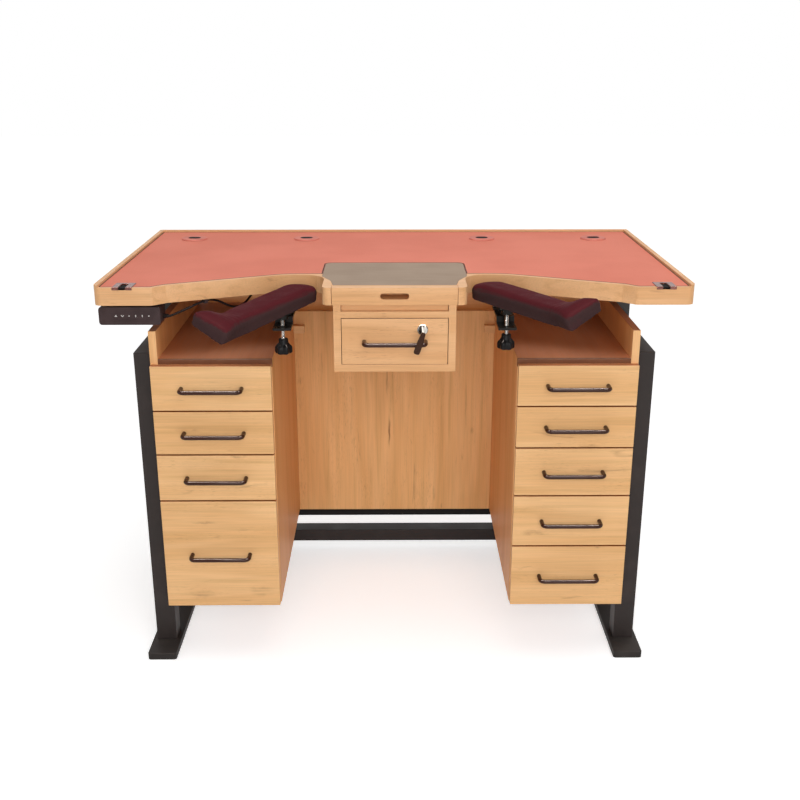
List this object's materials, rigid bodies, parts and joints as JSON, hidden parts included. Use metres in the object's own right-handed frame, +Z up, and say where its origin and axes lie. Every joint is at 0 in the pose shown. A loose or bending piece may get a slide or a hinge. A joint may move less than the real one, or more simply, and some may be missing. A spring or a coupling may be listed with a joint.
{
  "type": "watchmaker's bench",
  "caption": "Height-adjustable watchmaker's bench: lipped red worktop with a centre bay, twin drawer cabinets, catch tray, lockable drawer, swivelling armrests and steel frame.",
  "frame": {"origin": "on the floor, under the middle of the bench's overall outline with the worktop at its lowest", "axes": "+Z up, -Y towards the seated user, +X to the user's right"},
  "size_m": [1.24, 0.9132, 0.9071],
  "materials": {
    "beech_laminate": "satin beech-coloured laminate with streaks and small knots",
    "red_work_mat": "salmon-red laminate, satin",
    "grey_work_plate": "warm grey inlay, satin",
    "grommet_plastic": "red-brown moulded plastic",
    "chrome_plate": "bright plated",
    "black_powder_coat": "black fine-texture powder coat",
    "dark_column_tube": "dark grey satin coat",
    "dark_handle_wire": "glossy dark bronze",
    "key_steel": "bright shank, dark head",
    "maroon_leather": "dark maroon upholstery, soft sheen",
    "black_knob_plastic": "black moulded knob on a bright screw",
    "dark_grey_plastic": "dark grey moulded",
    "cable_rubber": "black flexible lead"
  },
  "bodies": {
    "base": {"knee_panel": "beech_laminate", "left_cabinet": "beech_laminate", "left_corner_block": "beech_laminate", "left_foot": "black_powder_coat", "left_lift_outer": "black_powder_coat", "left_side_frame": "black_powder_coat", "lower_crossbar": "black_powder_coat", "right_cabinet": "beech_laminate", "right_corner_block": "beech_laminate", "right_foot": "black_powder_coat", "right_lift_outer": "black_powder_coat", "right_side_frame": "black_powder_coat", "upper_crossbar": "black_powder_coat"},
    "left_drawer_1_body": {"left_drawer_1": "beech_laminate", "left_drawer_1_handle": "dark_handle_wire"},
    "left_drawer_2_body": {"left_drawer_2": "beech_laminate", "left_drawer_2_handle": "dark_handle_wire"},
    "left_drawer_3_body": {"left_drawer_3": "beech_laminate", "left_drawer_3_handle": "dark_handle_wire"},
    "left_drawer_4_body": {"left_drawer_4": "beech_laminate", "left_drawer_4_handle": "dark_handle_wire"},
    "right_drawer_1_body": {"right_drawer_1": "beech_laminate", "right_drawer_1_handle": "dark_handle_wire"},
    "right_drawer_2_body": {"right_drawer_2": "beech_laminate", "right_drawer_2_handle": "dark_handle_wire"},
    "right_drawer_3_body": {"right_drawer_3": "beech_laminate", "right_drawer_3_handle": "dark_handle_wire"},
    "right_drawer_4_body": {"right_drawer_4": "beech_laminate", "right_drawer_4_handle": "dark_handle_wire"},
    "right_drawer_5_body": {"right_drawer_5": "beech_laminate", "right_drawer_5_handle": "dark_handle_wire"},
    "centre_drawer_body": {"centre_drawer": "beech_laminate", "centre_handle": "dark_handle_wire", "lock_barrel": "chrome_plate"},
    "key_body": {"drawer_key": "key_steel"},
    "catch_tray_body": {"catch_tray": "beech_laminate"},
    "left_carrier_body": {"left_armrest_carrier": "black_powder_coat"},
    "left_screw_body": {"left_armrest_screw": "black_knob_plastic"},
    "left_pad_body": {"left_armrest_pad": "maroon_leather"},
    "right_carrier_body": {"right_armrest_carrier": "black_powder_coat"},
    "right_screw_body": {"right_armrest_screw": "black_knob_plastic"},
    "right_pad_body": {"right_armrest_pad": "maroon_leather"},
    "worktop": {"bench_top": "beech_laminate", "cable_clip": "dark_grey_plastic", "centre_box": "beech_laminate", "control_cable": "cable_rubber", "grommet_1": "grommet_plastic", "grommet_2": "grommet_plastic", "grommet_3": "grommet_plastic", "grommet_4": "grommet_plastic", "hand_controller": "dark_grey_plastic", "left_armrest_bracket": "black_powder_coat", "left_corner_plate": "chrome_plate", "left_lift_inner": "dark_column_tube", "power_box": "dark_grey_plastic", "right_armrest_bracket": "black_powder_coat", "right_corner_plate": "chrome_plate", "right_lift_inner": "dark_column_tube", "work_plate": "grey_work_plate", "work_surface": "red_work_mat"}
  },
  "joints": [
    {"name": "left_drawer_1_slide", "type": "slide", "parent": "base", "child": "left_drawer_1_body", "axis": [0, -1, 0], "range_m": [0, 0.35]},
    {"name": "left_drawer_2_slide", "type": "slide", "parent": "base", "child": "left_drawer_2_body", "axis": [0, -1, 0], "range_m": [0, 0.35]},
    {"name": "left_drawer_3_slide", "type": "slide", "parent": "base", "child": "left_drawer_3_body", "axis": [0, -1, 0], "range_m": [0, 0.35]},
    {"name": "left_drawer_4_slide", "type": "slide", "parent": "base", "child": "left_drawer_4_body", "axis": [0, -1, 0], "range_m": [0, 0.35]},
    {"name": "right_drawer_1_slide", "type": "slide", "parent": "base", "child": "right_drawer_1_body", "axis": [0, -1, 0], "range_m": [0, 0.35]},
    {"name": "right_drawer_2_slide", "type": "slide", "parent": "base", "child": "right_drawer_2_body", "axis": [0, -1, 0], "range_m": [0, 0.35]},
    {"name": "right_drawer_3_slide", "type": "slide", "parent": "base", "child": "right_drawer_3_body", "axis": [0, -1, 0], "range_m": [0, 0.35]},
    {"name": "right_drawer_4_slide", "type": "slide", "parent": "base", "child": "right_drawer_4_body", "axis": [0, -1, 0], "range_m": [0, 0.35]},
    {"name": "right_drawer_5_slide", "type": "slide", "parent": "base", "child": "right_drawer_5_body", "axis": [0, -1, 0], "range_m": [0, 0.35]},
    {"name": "left_armrest_height", "type": "slide", "parent": "worktop", "child": "left_carrier_body", "axis": [0, 0, 1], "range_m": [-0.008, 0.012]},
    {"name": "left_screw_turn", "type": "hinge", "parent": "left_carrier_body", "child": "left_screw_body", "pos_m": [-0.234, -0.20176, 0.7589], "axis": [0, 0, 1], "range_deg": [-1450, 2170]},
    {"name": "left_pad_swivel", "type": "hinge", "parent": "left_carrier_body", "child": "left_pad_body", "pos_m": [-0.234, -0.20176, 0.8289], "axis": [0, 0, 1], "range_deg": [-9.5, 19]},
    {"name": "right_armrest_height", "type": "slide", "parent": "worktop", "child": "right_carrier_body", "axis": [0, 0, 1], "range_m": [-0.008, 0.012]},
    {"name": "right_screw_turn", "type": "hinge", "parent": "right_carrier_body", "child": "right_screw_body", "pos_m": [0.234, -0.20176, 0.7682], "axis": [0, 0, 1], "range_deg": [-1450, 2170]},
    {"name": "right_pad_swivel", "type": "hinge", "parent": "right_carrier_body", "child": "right_pad_body", "pos_m": [0.234, -0.20176, 0.8382], "axis": [0, 0, 1], "range_deg": [-20.5, 8]},
    {"name": "lift", "type": "slide", "parent": "base", "child": "worktop", "axis": [0, 0, 1], "range_m": [0, 0.4]},
    {"name": "centre_drawer_slide", "type": "slide", "parent": "worktop", "child": "centre_drawer_body", "axis": [0, -1, 0], "range_m": [0, 0.2]},
    {"name": "catch_tray_slide", "type": "slide", "parent": "worktop", "child": "catch_tray_body", "axis": [0, -1, 0], "range_m": [0, 0.18]},
    {"name": "key_turn", "type": "hinge", "parent": "centre_drawer_body", "child": "key_body", "pos_m": [0.058, -0.21436, 0.7887], "axis": [0, 1, 0], "range_deg": [0, 90]}
  ],
  "couplings": [
    {"joint": "left_screw_turn", "follows": "left_armrest_height", "rad_per_m": 3141.6},
    {"joint": "right_screw_turn", "follows": "right_armrest_height", "rad_per_m": 3141.6}
  ]
}
